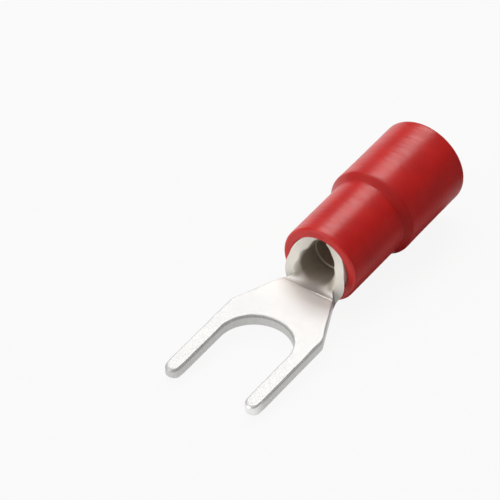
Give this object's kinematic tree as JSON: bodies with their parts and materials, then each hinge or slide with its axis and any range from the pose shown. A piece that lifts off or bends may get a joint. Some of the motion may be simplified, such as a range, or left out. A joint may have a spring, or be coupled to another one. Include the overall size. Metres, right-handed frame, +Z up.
{
  "type": "fork terminal",
  "caption": "Insulated fork terminal: a flat tongue with an open stud slot, a rolled wire barrel and a stepped red vinyl sleeve, crimped on a wire and clamped under a screw.",
  "frame": {"origin": "stud centre, which is the centre of the slot's round end, on the underside of the tongue", "axes": "+X from the stud centre back along the wire barrel to the wire entry, +Z up through the tongue to the side where the barrel's seam lies"},
  "size_m": [0.0216, 0.006, 0.0054],
  "materials": {
    "tinned_copper": "bright tin plate over copper sheet",
    "red_vinyl": "satin moulded vinyl"
  },
  "bodies": {
    "root": {"crimp_fork": "tinned_copper", "insulating_sleeve": "red_vinyl"}
  },
  "joints": []
}
